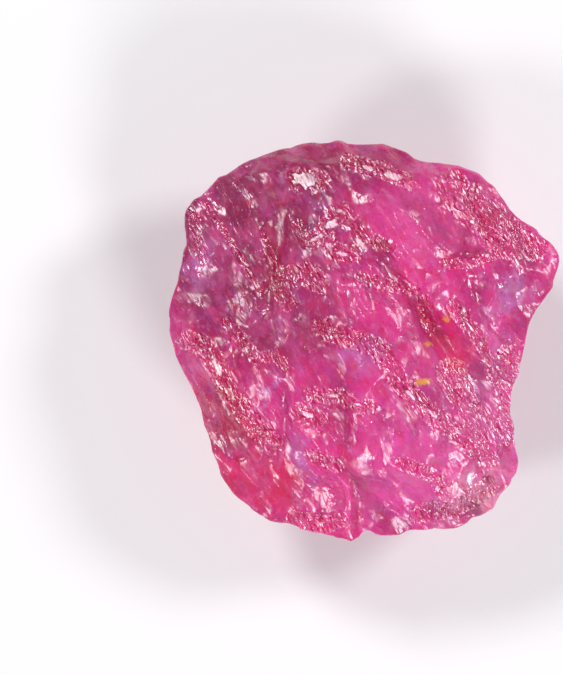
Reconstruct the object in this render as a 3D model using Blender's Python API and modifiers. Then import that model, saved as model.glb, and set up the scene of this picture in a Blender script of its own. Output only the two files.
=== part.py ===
"""Raw ruby crystal: one rough, broken stone lying on its flattest parting face.

The stone is a lens-like lump. A girdle runs round its widest line, a crown of crests and creases
rises above it, and a plainer base narrows below it to one flat parting face at Z = 0.
Frame: +X right, +Y up the face of the stone, +Z up from the surface that it lies on, with the
origin under the middle of the stone's box.
"""

import math
import random

import bmesh
import bpy
from mathutils import Vector, noise
from mathutils.geometry import delaunay_2d_cdt
from mathutils.kdtree import KDTree

MM = 0.001

# Driving dimensions, in metres.
STONE_WIDTH = 14.5 * MM
STONE_LENGTH = 14.9 * MM
STONE_HEIGHT = 7.2 * MM
FOOT_TRIM = 0.16 * MM        # how far above its lowest point the base ends, in the parting face

# How finely the stone is carved, and how many triangles it keeps.
CARVING_GRAIN = 0.11 * MM
TRIANGLE_COUNT = 9000
SEED = 44

# Shell-like chips, from the largest to the smallest: how many, and the ranges of their half width and depth.
CHIP_SIZES = [
    ("scoops", 26, (1.10 * MM, 1.60 * MM), (0.11 * MM, 0.19 * MM)),
    ("chips", 110, (0.60 * MM, 1.00 * MM), (0.08 * MM, 0.16 * MM)),
    ("nicks", 300, (0.34 * MM, 0.60 * MM), (0.05 * MM, 0.11 * MM)),
]
CHIP_LEAN = 0.45             # how far a chip leans, as a share of its normal: one side is steeper
CHIP_SQUEEZE = 0.6           # a chip's half width over its half length, which runs along the streak
GIRDLE_CHIP_DEPTH = 0.6      # share of a chip's depth that is kept at the girdle
STEEP_FROM, STEEP_TO = 0.4, 0.9    # how steep the side is where the girdle's lower share sets in
FOOT_CLEAR = 0.1 * MM        # height above the parting face up to which nothing is carved
FOOT_FADE = 0.5 * MM         # height at which the carving reaches its full depth

# The way that the stone parts: steeply down to the right.
STREAK = Vector((-0.50, 0.87, 0.0)).normalized()

# Parting steps: low terraces that run along the streak.
STEP_DIRECTION = Vector((0.84, 0.50, -0.20))
STEP_SPACING = 1.15 * MM
STEP_HEIGHT = 0.15 * MM
STEP_RISER = 0.22            # share of a step's width that its steep side takes
STEP_WANDER = 0.9 * MM
STEP_WANDER_SCALE = 2.6 * MM
STEP_PATCH_SCALE = 3.2 * MM
STEP_PATCH_SHIFT = Vector((9.0, 4.0, 2.0))
STEP_PATCH_FROM, STEP_PATCH_TO = -0.15, 0.35

# Ledges drop over a narrow riser and rise back over a wide slope; creases are V-shaped.
LEDGE_RISER = 0.14 * MM
LEDGE_SLOPE = 1.1 * MM
CREASE_HALF_WIDTH = 0.42 * MM
LINE_END = 0.18              # share of a line's length over which its relief fades out at each end
CROWN_FROM, CROWN_FULL = 0.15, 0.45    # upward share of the normal where this relief begins and is full

# Lumps left between the chips.
LUMP_SCALE = 1.5 * MM
LUMP_HEIGHT = 0.09 * MM
LUMP_FALL, LUMP_STEP, LUMP_LEVELS = 0.8, 2.2, 3    # each finer level's loss of height, its scale, how many

# Working tolerances.
LINE_TOLERANCE = 1e-6        # in millimetres of plan
WELD_DISTANCE = 0.01 * MM
CUT_DISTANCE = 0.001 * MM
INSIDE_OUTLINE = 1           # the triangulation keeps what lies inside the girdle

# Girdle: the stone's outline as X, Y and its height above the parting face, in millimetres, clockwise
# from the upper left.
GIRDLE = [
    (-5.8, 5.7, 5.6), (-5.1, 6.2, 5.8), (-3.8, 6.9, 5.7), (-2.4, 7.3, 5.4), (-0.7, 7.5, 5.4),
    (1.0, 7.4, 5.5), (1.6, 7.1, 5.6), (1.9, 6.8, 5.6), (3.0, 6.6, 5.4), (3.6, 6.5, 5.3),
    (4.2, 6.3, 5.4), (4.8, 5.9, 5.5), (5.3, 5.2, 5.5), (5.7, 4.6, 5.4), (6.4, 4.2, 5.4),
    (6.9, 3.7, 5.3), (7.2, 3.2, 5.3), (7.2, 2.7, 5.4), (7.0, 2.0, 5.6), (6.5, 1.4, 5.7),
    (6.2, 0.8, 5.5), (6.0, 0.2, 5.4), (5.9, -0.5, 5.4), (5.7, -1.3, 5.4), (5.4, -2.0, 5.4),
    (5.4, -2.7, 5.4), (5.6, -3.6, 5.2), (5.8, -4.3, 5.1), (5.7, -4.9, 5.1), (5.2, -5.5, 5.2),
    (4.8, -6.1, 5.1), (4.3, -6.6, 4.9), (3.6, -6.9, 4.8), (3.0, -7.1, 4.9), (2.1, -7.0, 5.1),
    (1.3, -7.2, 5.1), (0.6, -7.3, 5.0), (0.2, -7.0, 5.1), (-0.1, -7.3, 5.1), (-0.6, -7.5, 5.2),
    (-1.2, -7.2, 5.2), (-2.3, -6.9, 5.2), (-3.3, -6.7, 5.1), (-4.1, -6.3, 5.1), (-4.8, -5.7, 5.1),
    (-5.3, -5.0, 5.3), (-5.5, -4.1, 5.4), (-5.9, -3.0, 5.4), (-6.2, -2.3, 5.4), (-6.6, -1.4, 5.2),
    (-7.0, -0.5, 5.2), (-7.2, 0.3, 5.3), (-7.2, 1.1, 5.4), (-7.0, 1.7, 5.5), (-6.8, 2.6, 5.4),
    (-6.7, 3.2, 5.4), (-6.5, 3.6, 5.4), (-6.6, 4.2, 5.5), (-6.6, 4.8, 5.6), (-6.3, 5.3, 5.6),
]

# Crown: the crests, creases and faces above the girdle, each a line of points in the same measure.
CROWN_LINES = {
    "cheek_edge": [(-5.7, 5.3, 5.6), (-5.3, 4.4, 6.1), (-4.5, 3.1, 6.4), (-3.8, 1.8, 6.6)],
    "upper_left_face": [(-4.7, 5.9, 6.2), (-3.8, 5.1, 6.7), (-4.0, 3.9, 6.8)],
    "left_valley": [
        (-2.8, 4.9, 6.8), (-3.1, 3.7, 6.6), (-3.4, 2.6, 6.5), (-3.6, 1.4, 6.3), (-4.2, 0.4, 6.0),
        (-4.7, -0.6, 5.8), (-4.3, -1.9, 6.0), (-3.7, -2.9, 6.2), (-3.1, -3.4, 6.3),
    ],
    "north_rim": [
        (-3.5, 6.2, 6.4), (-2.5, 6.5, 6.3), (-1.5, 6.4, 6.4), (-0.5, 6.7, 6.3), (0.5, 6.8, 6.2),
        (1.4, 6.4, 6.3),
    ],
    "bright_patch": [(-2.5, 5.6, 6.7), (-1.6, 5.5, 6.8)],
    "plum_hollow": [(-1.8, 4.7, 6.8)],
    "hollow_lip": [(-2.4, 4.0, 7.1), (-2.0, 3.5, 7.3), (-1.3, 3.9, 7.3), (-0.8, 4.6, 7.2)],
    "main_crease": [
        (-0.5, 5.1, 7.1), (-0.1, 3.9, 7.1), (0.4, 3.1, 7.0), (1.1, 2.4, 6.9), (1.7, 1.8, 6.8),
        (2.4, 0.8, 6.6), (3.1, -0.2, 6.4), (3.9, -1.0, 6.1), (4.6, -1.8, 5.7),
    ],
    "wing_groove": [(2.1, 2.7, 6.8), (3.1, 3.1, 6.7), (4.4, 3.4, 6.4), (5.5, 3.4, 6.1), (6.4, 3.4, 5.5)],
    "upper_right_face": [(0.4, 5.8, 6.9), (1.2, 4.9, 7.3), (2.3, 4.1, 7.2), (3.1, 4.9, 6.9)],
    "shoulder": [(2.3, 6.0, 6.3), (3.1, 5.7, 6.4), (3.9, 4.9, 6.5), (4.8, 4.4, 6.2), (5.7, 3.9, 5.8)],
    "wing": [(3.8, 2.4, 6.9), (5.2, 2.3, 6.7), (6.4, 2.6, 5.9)],
    "wing_lower": [(4.6, 1.2, 6.6), (5.6, 1.3, 5.9)],
    "wing_edge": [(2.9, 1.4, 6.9), (3.5, 0.7, 6.8), (4.1, 0.0, 6.6), (4.6, -0.7, 6.3), (5.0, -1.6, 5.6)],
    "central_face": [(-1.3, 2.8, 7.4), (-0.3, 1.7, 7.6), (1.1, 0.8, 7.4), (1.9, -0.4, 7.1), (3.0, -1.5, 6.6)],
    "central_low": [(-2.4, 1.5, 6.9), (-1.7, 0.4, 7.2), (-0.2, -0.2, 7.4), (0.7, -1.1, 7.2)],
    "boss_lip": [(-4.0, -0.8, 6.5), (-3.3, -0.5, 6.7), (-2.6, -1.1, 6.9)],
    "boss": [(-3.4, -1.8, 6.6), (-2.5, -2.3, 6.8)],
    "lower_left_edge": [
        (-6.4, 0.0, 5.7), (-5.6, -0.7, 6.1), (-5.1, -1.6, 6.2), (-4.7, -2.4, 6.3), (-4.0, -3.3, 6.3),
        (-3.4, -3.9, 6.4),
    ],
    "middle_ledge": [(-1.9, -1.7, 6.9), (-0.9, -1.9, 7.1), (-0.3, -2.5, 7.1)],
    "groove_west": [(-2.8, -3.3, 6.4), (-2.9, -4.5, 6.0), (-3.2, -5.6, 5.4)],
    "rib_west": [(-2.2, -3.0, 6.8), (-2.2, -4.4, 6.4), (-2.1, -5.8, 5.8)],
    "groove_mid": [(-1.6, -3.3, 6.6), (-1.4, -4.7, 6.2), (-0.9, -6.1, 5.3)],
    "rib_mid": [(-0.7, -3.6, 6.9), (-0.5, -5.0, 6.4), (-0.5, -6.3, 5.6)],
    "groove_notch": [(0.3, -3.4, 6.8), (0.2, -4.9, 6.3), (0.2, -6.1, 5.3)],
    "boss_edge": [(0.9, -1.6, 6.9), (1.6, -2.1, 7.1), (2.2, -2.8, 7.1), (3.1, -3.2, 6.8), (4.2, -3.7, 6.3)],
    "right_boss": [(2.4, -4.2, 6.8), (3.7, -4.5, 6.2), (4.7, -4.4, 5.6)],
    "star_ridge": [(1.4, -4.5, 6.6), (2.4, -4.9, 6.4), (3.4, -5.7, 5.9)],
    "south_east_rim": [(1.0, -6.1, 5.6), (2.2, -6.1, 5.4), (3.3, -6.4, 5.0), (4.4, -5.5, 5.1)],
    "foot_facet": [(-2.4, -6.4, 5.4), (-1.4, -6.6, 5.2)],
}

# Ledges on the crown, each as its height and its line in plan, in millimetres. The high side is on the
# left of the line as it runs.
CROWN_LEDGES = {
    "cheek": (0.26, [(-3.8, 1.7), (-4.6, 3.1), (-5.3, 4.2), (-5.9, 5.1)]),
    "north_streak": (0.20, [(1.6, 5.9), (0.5, 6.2), (-0.6, 6.6)]),
    "plum_lip": (0.30, [(-2.4, 4.2), (-2.2, 3.7), (-1.5, 4.0), (-1.3, 4.6), (-0.7, 4.8)]),
    "rose_step": (0.16, [(-0.4, 4.1), (0.3, 3.7), (0.9, 3.5)]),
    "valley_step": (0.18, [(-3.3, 2.7), (-3.7, 3.8), (-3.8, 4.6)]),
    "middle_step": (0.20, [(1.8, 1.9), (1.1, 2.0), (-0.2, 2.3), (-1.3, 2.1)]),
    "wing_ridge": (0.22, [(5.6, 3.7), (4.4, 3.2), (3.1, 2.9), (1.9, 2.2)]),
    "shoulder_step": (0.20, [(5.6, 4.4), (4.7, 5.0), (3.9, 5.9), (3.0, 6.1)]),
    "crescent": (0.28, [(4.5, -0.9), (4.2, 0.2), (3.6, 0.8), (3.2, 1.5)]),
    "east_lip": (0.18, [(4.8, -1.5), (4.8, -0.6), (5.0, 0.3)]),
    "face_streak": (0.18, [(1.1, -1.1), (0.4, -0.2), (-0.7, 0.1), (-1.6, 0.5)]),
    "fold": (0.16, [(2.3, 0.3), (2.1, 1.1), (1.6, 1.5)]),
    "west_band": (0.30, [
        (-3.4, -3.8), (-4.2, -2.9), (-4.8, -2.3), (-5.1, -1.6), (-5.5, -0.9), (-5.9, -0.3), (-6.6, 0.0),
    ]),
    "west_step": (0.20, [(-4.1, -0.4), (-4.6, 0.0), (-5.0, 0.5), (-5.7, 1.3)]),
    "boss_arc": (0.22, [(-4.1, -0.8), (-3.3, -0.4), (-2.6, -1.1)]),
    "middle_ledge": (0.24, [(-2.3, -2.1), (-0.9, -1.9), (-0.4, -2.4), (0.2, -2.9)]),
    "big_streak": (0.28, [(3.4, -3.4), (2.4, -2.6), (1.6, -1.9), (0.8, -1.5)]),
    "star_ridge": (0.24, [(3.6, -6.0), (2.4, -4.9), (1.4, -4.5), (0.7, -4.4)]),
    "south_step": (0.18, [(-2.2, -4.1), (-1.2, -4.4), (-0.8, -4.2)]),
    "low_west_step": (0.18, [(-4.9, -4.3), (-4.3, -4.1), (-3.6, -4.5)]),
}

# Creases on the crown, each as its depth and its line in plan, in millimetres.
CROWN_CREASES = {
    "main_crease": (0.20, [
        (-0.6, 5.3), (-0.1, 4.0), (1.0, 2.7), (1.8, 1.8), (2.4, 0.7), (3.2, -0.4), (4.6, -2.0),
    ]),
    "plum_crease": (0.14, [(-3.1, 5.2), (-3.3, 3.9), (-3.2, 2.7), (-3.8, 0.9)]),
    "south_seam": (0.20, [(-0.7, -2.3), (-0.8, -4.4), (-0.2, -5.6), (-0.1, -7.1)]),
    "west_seam": (0.16, [(-2.9, -1.3), (-3.0, -3.4), (-2.9, -5.1)]),
    "boss_seam": (0.15, [(0.9, -2.3), (0.5, -3.6), (0.9, -5.4)]),
    "wing_seam": (0.15, [(5.9, 1.7), (4.4, 1.8), (3.1, 2.0), (2.1, 1.6)]),
}

# Base: the belly below the girdle, a few ledges, and the corners and middle of the parting face.
BASE_LINES = {
    "belly": [
        (-5.4, 5.2, 4.1), (-3.6, 6.4, 3.5), (-0.8, 7.0, 3.9), (1.7, 6.4, 3.0), (3.5, 6.0, 3.8),
        (4.9, 4.8, 3.2), (6.5, 3.3, 3.8), (6.3, 1.7, 3.0), (5.6, 0.2, 3.0), (5.1, -2.1, 2.3),
        (5.3, -4.2, 2.6), (4.3, -5.7, 2.0), (2.8, -6.5, 2.4), (0.7, -6.6, 2.0), (-1.4, -6.5, 2.8),
        (-3.2, -6.1, 2.4), (-4.4, -5.2, 3.1), (-5.2, -3.7, 3.0), (-5.7, -2.0, 3.5), (-6.5, -0.4, 3.1),
        (-6.7, 1.2, 3.6), (-6.2, 2.7, 3.1), (-6.0, 4.1, 3.9),
    ],
    "north_ledge": [(-4.1, 5.0, 1.8), (-2.2, 5.6, 1.2), (-0.2, 5.7, 1.9), (1.9, 5.3, 1.2)],
    "east_ledge": [(3.9, 4.1, 1.6), (5.2, 2.4, 1.2), (4.7, 0.6, 1.6), (4.4, -1.2, 0.9)],
    "south_ledge": [(4.2, -3.4, 1.2), (2.6, -5.2, 0.8), (0.4, -5.5, 1.4), (-1.7, -5.2, 0.9)],
    "west_ledge": [
        (-3.8, -4.3, 1.5), (-4.8, -2.4, 1.1), (-5.3, -0.4, 1.6), (-5.2, 1.6, 1.1), (-4.9, 3.3, 1.8),
    ],
    "parting_face": [
        (-4.0, 2.3, 0.0), (-2.9, 4.1, 0.0), (-0.6, 4.5, 0.0), (1.6, 4.1, 0.0), (3.4, 2.9, 0.0),
        (3.9, 0.9, 0.0), (3.2, -1.2, 0.0), (3.5, -2.8, 0.0), (1.6, -4.3, 0.0), (-0.6, -4.4, 0.0),
        (-2.4, -3.5, 0.0), (-3.6, -2.9, 0.0), (-4.4, -0.6, 0.0),
    ],
    "parting_middle": [(-0.4, 1.2, 0.0), (0.2, -1.6, 0.0)],
}
CLOSED_LINES = ("belly", "parting_face")


def clear_scene():
    for item in list(bpy.data.objects):
        bpy.data.objects.remove(item, do_unlink=True)


def new_collection(name):
    collection = bpy.data.collections.new(name)
    bpy.context.scene.collection.children.link(collection)
    return collection


def loop_edges(first, count, closed):
    """Pairs of neighbours along a run of points."""
    pairs = [(first + step, first + step + 1) for step in range(count - 1)]
    if closed:
        pairs.append((first + count - 1, first))
    return pairs


def stretched_skin(lines):
    """A skin of flat faces between the girdle and the given lines, as points and triangles."""
    points = list(GIRDLE)
    edges = loop_edges(0, len(GIRDLE), True)
    for name, line in lines.items():
        edges += loop_edges(len(points), len(line), name in CLOSED_LINES)
        points += line
    plan = [Vector((x, y)) for x, y, z in points]
    flat, _, faces, sources, _, _ = delaunay_2d_cdt(plan, edges, [], INSIDE_OUTLINE, LINE_TOLERANCE)
    if len(flat) != len(points):
        raise ValueError("two of the stone's lines cross")
    heights = [points[source[0]][2] for source in sources]
    corners = [Vector((at.x, at.y, height)) * MM for at, height in zip(flat, heights)]
    return corners, faces


def rough_block():
    """The stone's main faces: the crown's skin and the base's skin, joined at the girdle."""
    mesh = bmesh.new()
    for lines in (CROWN_LINES, BASE_LINES):
        corners, faces = stretched_skin(lines)
        verts = [mesh.verts.new(corner) for corner in corners]
        for face in faces:
            mesh.faces.new([verts[index] for index in face])
    bmesh.ops.remove_doubles(mesh, verts=mesh.verts, dist=WELD_DISTANCE)
    bmesh.ops.recalc_face_normals(mesh, faces=mesh.faces)
    return mesh


def apply_modifier(item, kind, **settings):
    modifier = item.modifiers.new(kind.title(), kind)
    for name, value in settings.items():
        setattr(modifier, name, value)
    shape = bpy.data.meshes.new_from_object(item.evaluated_get(bpy.context.evaluated_depsgraph_get()))
    item.modifiers.clear()
    item.data = shape


def smooth_step(start, end, value):
    """Rises softly from 0 at the start to 1 at the end; the start may be the higher of the two."""
    share = min(1.0, max(0.0, (value - start) / (end - start)))
    return share * share * (3.0 - 2.0 * share)


def carving_share(point, normal):
    """How much of the carving a place takes: little at the girdle, none at the parting face."""
    side = 1.0 - abs(normal.z)
    kept = 1.0 - (1.0 - GIRDLE_CHIP_DEPTH) * smooth_step(STEEP_FROM, STEEP_TO, side)
    return kept * smooth_step(FOOT_CLEAR, FOOT_FADE, point.z)


def parting_step(point):
    """Height of the low terraces at a place: a long tread, then a short riser."""
    wander = noise.noise(point / STEP_WANDER_SCALE) * STEP_WANDER
    along = (point.dot(STEP_DIRECTION.normalized()) + wander) / STEP_SPACING
    share = along - math.floor(along)
    tread = share / (1.0 - STEP_RISER) if share < 1.0 - STEP_RISER else (1.0 - share) / STEP_RISER
    patches = noise.noise(point / STEP_PATCH_SCALE + STEP_PATCH_SHIFT)
    patch = smooth_step(STEP_PATCH_FROM, STEP_PATCH_TO, patches)
    return (tread - 0.5) * STEP_HEIGHT * patch


def lump(point):
    return noise.fractal(point / LUMP_SCALE, LUMP_FALL, LUMP_STEP, LUMP_LEVELS) * LUMP_HEIGHT


def place_on_line(point, line):
    """Distance in plan to a line, side of it that the point is on, left positive, and share run along it."""
    at = point.xy
    lengths = [(end - start).length for start, end in zip(line, line[1:])]
    best = (math.inf, 1.0, 0.0)
    run = 0.0
    for start, end, length in zip(line, line[1:], lengths):
        way = (end - start) / length
        along = min(length, max(0.0, (at - start).dot(way)))
        away = at - (start + way * along)
        if away.length < best[0]:
            side = 1.0 if way.x * (at - start).y > way.y * (at - start).x else -1.0
            best = (away.length, side, (run + along) / sum(lengths))
        run += length
    return best


def end_fade(share):
    """Fades a line's relief out towards both its ends."""
    return smooth_step(0.0, LINE_END, share) * smooth_step(1.0, 1.0 - LINE_END, share)


def ledge_height(point, height, line):
    distance, side, share = place_on_line(point, line)
    if distance > LEDGE_SLOPE:
        return 0.0
    slope = (1.0 - distance / LEDGE_SLOPE) ** 2
    riser = 0.5 + 0.5 * side * min(1.0, distance / LEDGE_RISER)
    return height * slope * (riser - 0.5) * end_fade(share)


def crease_depth(point, depth, line):
    distance, _, share = place_on_line(point, line)
    return depth * max(0.0, 1.0 - distance / CREASE_HALF_WIDTH) * end_fade(share)


def crown_relief(point, normal, ledges, creases):
    """Height of the named ledges less the depth of the named creases; none on the base."""
    up = smooth_step(CROWN_FROM, CROWN_FULL, normal.z)
    if up == 0.0:
        return 0.0
    raised = sum(ledge_height(point, height, line) for height, line in ledges)
    sunk = sum(crease_depth(point, depth, line) for depth, line in creases)
    return (raised - sunk) * up


def in_metres(lines):
    return [(size * MM, [Vector(at) * MM for at in line]) for size, line in lines.values()]


def draw_chips(places, draw):
    """Seeded chips, as their middle, half width, depth and the way that they lean."""
    chips = []
    for _, count, widths, depths in CHIP_SIZES:
        for _ in range(count):
            point, normal = places[draw.randrange(len(places))]
            half_width = draw.uniform(*widths)
            depth = draw.uniform(*depths) * carving_share(point, normal)
            lean = Vector([draw.uniform(-1.0, 1.0) for _ in range(3)]) * CHIP_LEAN / half_width
            chips.append((point, half_width, depth, lean))
    return chips


def chip_depth(point, chip):
    """Depth of one long, bowl-like chip at a place, none outside it; its rim is sharp, one side steeper."""
    middle, half_width, depth, lean = chip
    offset = point - middle
    offset -= STREAK * offset.dot(STREAK) * (1.0 - CHIP_SQUEEZE)
    share = 1.0 - offset.length_squared / (half_width * half_width)
    return depth * share * (1.0 + lean.dot(offset)) if share > 0.0 else 0.0


def carve(item):
    """Carves ledges, creases, lumps, parting steps and chips into the block's fine mesh."""
    ledges = in_metres(CROWN_LEDGES)
    creases = in_metres(CROWN_CREASES)
    draw = random.Random(SEED)
    mesh = item.data
    places = [(vert.co.copy(), vert.normal.copy()) for vert in mesh.vertices]
    tree = KDTree(len(places))
    for index, (point, _) in enumerate(places):
        tree.insert(point, index)
    tree.balance()
    depths = [0.0] * len(places)
    for chip in draw_chips(places, draw):
        for point, index, _ in tree.find_range(chip[0], chip[1] / CHIP_SQUEEZE):
            depths[index] = max(depths[index], chip_depth(point, chip))
    for vert, (point, normal), depth in zip(mesh.vertices, places, depths):
        raised = (lump(point) + parting_step(point)) * carving_share(point, normal)
        named = crown_relief(point, normal, ledges, creases)
        vert.co = point + normal * (raised + named - depth)


def fit_to_size(item):
    """Scales the stone to its driving dimensions and sets the middle of its box over the origin."""
    mesh = item.data
    lows = [min(vert.co[axis] for vert in mesh.vertices) for axis in range(3)]
    highs = [max(vert.co[axis] for vert in mesh.vertices) for axis in range(3)]
    sizes = (STONE_WIDTH, STONE_LENGTH, STONE_HEIGHT + FOOT_TRIM)
    scales = [size / (high - low) for size, low, high in zip(sizes, lows, highs)]
    for vert in mesh.vertices:
        vert.co.x = (vert.co.x - (lows[0] + highs[0]) / 2.0) * scales[0]
        vert.co.y = (vert.co.y - (lows[1] + highs[1]) / 2.0) * scales[1]
        vert.co.z = (vert.co.z - lows[2]) * scales[2] - FOOT_TRIM


def cut_parting_face(item):
    """Ends the base in one flat face at Z = 0."""
    mesh = bmesh.new()
    mesh.from_mesh(item.data)
    everything = mesh.verts[:] + mesh.edges[:] + mesh.faces[:]
    cut = bmesh.ops.bisect_plane(
        mesh, geom=everything, dist=CUT_DISTANCE, plane_co=(0.0, 0.0, 0.0), plane_no=(0.0, 0.0, 1.0),
        clear_inner=True,
    )
    for vert in mesh.verts:
        if vert.co.z < CUT_DISTANCE:
            vert.co.z = 0.0
    rim = [part for part in cut["geom_cut"] if isinstance(part, bmesh.types.BMEdge)]
    bmesh.ops.triangle_fill(mesh, edges=rim, use_beauty=True)
    bmesh.ops.triangulate(mesh, faces=[face for face in mesh.faces if len(face.verts) > 3])
    bmesh.ops.recalc_face_normals(mesh, faces=mesh.faces)
    mesh.to_mesh(item.data)
    mesh.free()


def ruby_material():
    """Clear to cloudy red-pink corundum with a natural, unpolished but glossy fracture."""
    material = bpy.data.materials.new("ruby_rough_fracture")
    material.use_nodes = True
    shader = material.node_tree.nodes["Principled BSDF"]
    shader.inputs["Base Color"].default_value = (0.60, 0.09, 0.25, 1.0)
    shader.inputs["Roughness"].default_value = 0.2
    shader.inputs["Metallic"].default_value = 0.0
    shader.inputs["IOR"].default_value = 1.77
    return material


def build_ruby_crystal():
    collection = new_collection("raw_ruby_crystal")
    block = rough_block()
    stone = bpy.data.objects.new("ruby_crystal", bpy.data.meshes.new("ruby_crystal"))
    collection.objects.link(stone)
    block.to_mesh(stone.data)
    block.free()
    apply_modifier(stone, "REMESH", mode="VOXEL", voxel_size=CARVING_GRAIN)
    carve(stone)
    fit_to_size(stone)
    apply_modifier(stone, "TRIANGULATE")
    apply_modifier(stone, "DECIMATE", ratio=TRIANGLE_COUNT / len(stone.data.polygons))
    cut_parting_face(stone)
    stone.data.materials.append(ruby_material())
    return stone


clear_scene()
build_ruby_crystal()
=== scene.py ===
"""The finish of a raw ruby crystal: its broken surface, its cloudy colour and a small studio.

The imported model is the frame. The stone's skin is made from the frame's own solid, which is resampled
finely, broken into small flat faces, streaked with parting steps, and thinned where it stays flat.
"""

import math

import bpy
import numpy as np
from bpy.props import FloatProperty, IntProperty, PointerProperty, StringProperty
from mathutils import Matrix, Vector
from mathutils.kdtree import KDTree


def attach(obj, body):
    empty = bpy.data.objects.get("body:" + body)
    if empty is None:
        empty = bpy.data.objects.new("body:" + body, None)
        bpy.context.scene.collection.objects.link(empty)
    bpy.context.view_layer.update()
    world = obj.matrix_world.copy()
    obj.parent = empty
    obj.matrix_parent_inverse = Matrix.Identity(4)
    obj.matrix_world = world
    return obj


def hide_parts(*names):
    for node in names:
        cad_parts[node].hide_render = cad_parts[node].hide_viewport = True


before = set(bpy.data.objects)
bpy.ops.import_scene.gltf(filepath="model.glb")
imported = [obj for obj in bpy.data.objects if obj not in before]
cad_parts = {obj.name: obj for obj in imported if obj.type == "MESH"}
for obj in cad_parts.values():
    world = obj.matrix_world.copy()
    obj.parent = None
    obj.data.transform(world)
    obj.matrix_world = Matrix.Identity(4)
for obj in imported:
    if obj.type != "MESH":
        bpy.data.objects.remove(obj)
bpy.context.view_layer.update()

bl_info = {
    "name": "Raw ruby crystal",
    "version": (1, 0, 0),
    "blender": (4, 5, 0),
    "location": "3D View > Sidebar > Ruby",
    "description": "Builds the broken, cloudy surface of a raw ruby and a studio to look at it in",
    "category": "Add Mesh",
}

MM = 0.001
NODE = "ruby_crystal"

# Bands of crinkled fracture that catch the light, each a line in plan with its half width, in millimetres.
GLINT_BANDS = {
    "bright_patch": (0.45, [(-2.4, 5.9), (-1.7, 5.9)]),
    "plum_lip": (0.30, [(-2.4, 4.2), (-2.1, 3.7), (-1.5, 4.0), (-1.3, 4.6), (-0.7, 4.8)]),
    "plum_hook": (0.30, [(-1.5, 4.0), (-1.2, 3.3), (-0.5, 3.2)]),
    "rose_step": (0.22, [(-0.4, 4.1), (0.3, 3.7), (0.9, 3.5)]),
    "north_streak": (0.30, [(-0.6, 6.6), (0.5, 6.3), (1.3, 6.0), (1.7, 5.8)]),
    "cheek_edge": (0.12, [(-5.9, 5.1), (-5.3, 4.2), (-4.6, 3.1), (-3.8, 1.7)]),
    "cheek_rim": (0.22, [(-6.3, 4.6), (-6.2, 3.8), (-6.0, 3.0)]),
    "valley_step": (0.16, [(-3.7, 3.8), (-3.3, 2.8)]),
    "valley_patch": (0.40, [(-3.1, 2.3), (-2.2, 2.5), (-1.7, 2.2)]),
    "valley_foot": (0.30, [(-3.2, 2.0), (-2.8, 1.4)]),
    "west_step": (0.30, [(-5.0, 0.6), (-4.6, 0.0), (-4.2, -0.4)]),
    "west_band": (0.38, [
        (-6.5, 0.0), (-5.8, -0.3), (-5.5, -0.9), (-5.1, -1.6), (-4.8, -2.3), (-4.2, -2.9), (-3.4, -3.8),
    ]),
    "boss_arc": (0.22, [(-4.0, -0.7), (-3.3, -0.5), (-2.7, -1.1)]),
    "middle_step": (0.22, [(-0.2, 2.3), (1.1, 2.0), (1.8, 1.9)]),
    "fold": (0.24, [(2.2, 1.5), (2.4, 0.4)]),
    "crescent": (0.26, [(3.3, 1.3), (3.6, 0.8), (4.2, 0.2), (4.4, -0.5)]),
    "east_lip": (0.26, [(4.7, -0.7), (4.8, -1.4)]),
    "face_streak": (0.34, [(-1.6, 0.5), (-0.7, 0.1), (0.4, -0.2), (1.1, -1.1)]),
    "middle_ledge": (0.26, [(-2.0, -2.0), (-0.9, -2.0), (-0.4, -2.4), (0.2, -2.4)]),
    "boss_patch": (0.34, [(-2.4, -2.6), (-1.7, -2.9)]),
    "big_streak": (0.36, [(1.2, -1.5), (1.9, -2.2), (2.6, -2.8), (3.4, -3.3)]),
    "east_streaks": (0.55, [(3.2, -1.2), (3.9, -2.4), (4.4, -3.4)]),
    "south_east": (0.50, [(3.6, -3.4), (4.6, -4.2)]),
    "star_ridge": (0.26, [(1.4, -4.5), (2.4, -4.9), (3.2, -5.5)]),
    "star": (0.36, [(3.0, -5.5), (3.6, -5.8)]),
    "wing_ridge": (0.20, [(5.3, 3.4), (4.0, 2.9), (3.0, 2.8)]),
    "shoulder": (0.70, [(3.2, 5.6), (4.4, 4.7), (5.4, 3.7)]),
    "wing_tip": (0.45, [(5.4, 4.0), (6.3, 3.4)]),
    "south_step": (0.24, [(-2.0, -4.2), (-1.0, -4.6)]),
    "foot_facet": (0.30, [(-2.6, -6.6), (-1.4, -6.8), (-0.9, -6.6)]),
    "east_rim": (0.45, [(5.3, -0.6), (5.3, -2.2), (5.2, -3.6)]),
    "south_rim": (0.35, [(4.6, -5.4), (3.4, -6.2), (2.0, -6.4)]),
}

# Round soft lamps: way from the stone, width in metres and brightness.
LAMPS = {
    "key": ((-0.68, 0.80, 1.0), 0.08, 25.0),
    "right": ((1.10, 0.50, 1.0), 0.075, 26.0),
    "left": ((-1.10, -0.65, 1.0), 0.065, 25.0),
    "low": ((0.65, -1.20, 1.0), 0.085, 21.0),
}

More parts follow.
